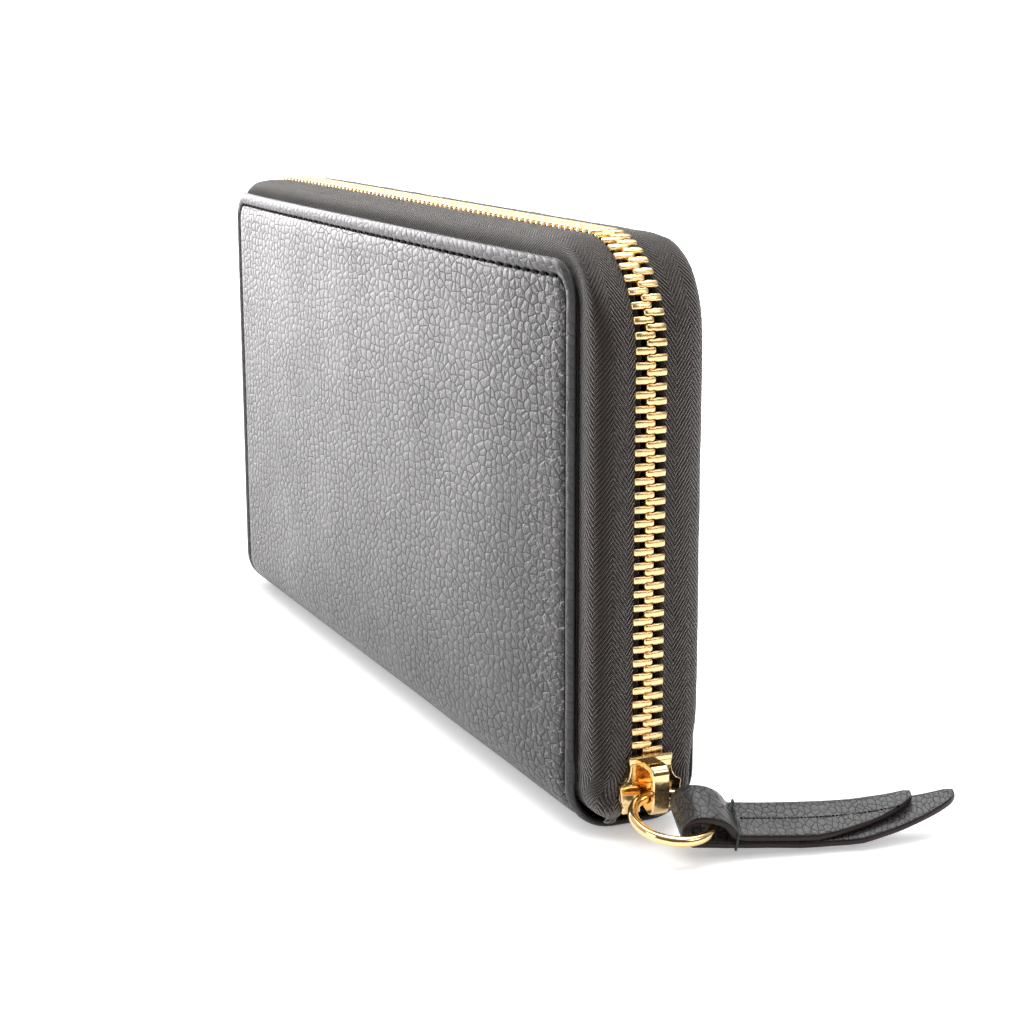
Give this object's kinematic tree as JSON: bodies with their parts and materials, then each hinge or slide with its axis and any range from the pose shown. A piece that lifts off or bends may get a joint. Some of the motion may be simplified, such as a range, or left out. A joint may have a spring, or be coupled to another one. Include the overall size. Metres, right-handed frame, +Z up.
{
  "type": "zip around wallet",
  "caption": "Long leather wallet closed by a metal zip round three edges, with a ring pull and folded leather tab, card pockets, bill spaces and a zipped coin pocket.",
  "frame": {"origin": "centre of the spine's flat underside", "axes": "+X along the length towards the end where the slider rests, +Y through the thickness towards the back cover, +Z up from the spine"},
  "size_m": [0.234, 0.0634, 0.1062],
  "materials": {
    "leather": "black pebbled grain",
    "board": "stiff fibre board",
    "lining": "woven",
    "tape": "herringbone woven",
    "gold": "polished pale gold",
    "card": "smooth",
    "cloth": "matt",
    "thread": "waxed"
  },
  "bodies": {
    "spine": {"spine_leather": "leather", "spine_board": "board", "spine_lining": "lining", "coin_wall_front": "lining", "coin_wall_back": "lining", "coin_base": "lining", "coin_end_near": "cloth", "coin_end_far": "cloth", "coin_tape_front": "tape", "coin_tape_back": "tape", "coin_teeth_front": "gold", "coin_teeth_back": "gold", "coin_stop_near": "gold", "coin_stop_far": "gold", "front_gusset_near": "cloth", "front_gusset_far": "cloth", "back_gusset_near": "cloth", "back_gusset_far": "cloth"},
    "front_half": {"front_cover_leather": "leather", "front_board": "board", "front_lining": "lining", "front_zip_tape": "tape", "front_zip_teeth": "gold", "front_top_stop": "gold", "front_card_panel": "card", "front_pocket_near_1": "card", "front_pocket_near_2": "card", "front_pocket_near_3": "card", "front_pocket_far_1": "card", "front_pocket_far_2": "card", "front_pocket_far_3": "card", "bottom_stop": "gold"},
    "back_half": {"back_cover_leather": "leather", "back_board": "board", "back_lining": "lining", "back_zip_tape": "tape", "back_zip_teeth": "gold", "back_top_stop": "gold", "back_card_panel": "card", "back_pocket_near_1": "card", "back_pocket_near_2": "card", "back_pocket_near_3": "card", "back_pocket_far_1": "card", "back_pocket_far_2": "card", "back_pocket_far_3": "card"},
    "slider": {"slider_body": "gold", "slider_bridge": "gold"},
    "ring": {"pull_ring": "gold"},
    "tab": {"pull_tab": "leather", "tab_thread": "thread"},
    "coin_slider": {"coin_slider": "gold"},
    "coin_puller": {"coin_puller": "gold"}
  },
  "joints": [
    {"name": "front_opening", "type": "hinge", "parent": "spine", "child": "front_half", "pos_m": [0, -0.00997, 0.00253], "axis": [1, 0, 0], "range_deg": [0, 25], "deforming": ["front_zip_teeth", "back_zip_teeth", "front_zip_tape", "back_zip_tape", "front_gusset_near", "front_gusset_far", "back_gusset_near", "back_gusset_far"]},
    {"name": "back_opening", "type": "hinge", "parent": "spine", "child": "back_half", "pos_m": [0, 0.00997, 0.00253], "axis": [1, 0, 0], "range_deg": [-25, 0]},
    {"name": "slider_travel", "type": "slide", "parent": "front_half", "child": "slider", "axis": [0, 0, 1], "range_m": [0, 0.068]},
    {"name": "ring_swing", "type": "hinge", "parent": "slider", "child": "ring", "pos_m": [0.10758, 0, 0.00855], "axis": [0, -1, 0], "range_deg": [0, 42]},
    {"name": "tab_swing", "type": "hinge", "parent": "ring", "child": "tab", "pos_m": [0.1157, 0.00518, 0.00627], "axis": [0.932, -0.2504, -0.262], "range_deg": [0, 30]},
    {"name": "coin_slider_travel", "type": "slide", "parent": "spine", "child": "coin_slider", "axis": [-1, 0, 0], "range_m": [0, 0.15], "deforming": ["coin_teeth_front", "coin_teeth_back"]},
    {"name": "coin_puller_swing", "type": "hinge", "parent": "coin_slider", "child": "coin_puller", "pos_m": [0.07955, 0, 0.08805], "axis": [0, 1, 0], "range_deg": [0, 32]}
  ],
  "couplings": [
    {"joint": "back_opening", "follows": "front_opening", "ratio": -1}
  ]
}
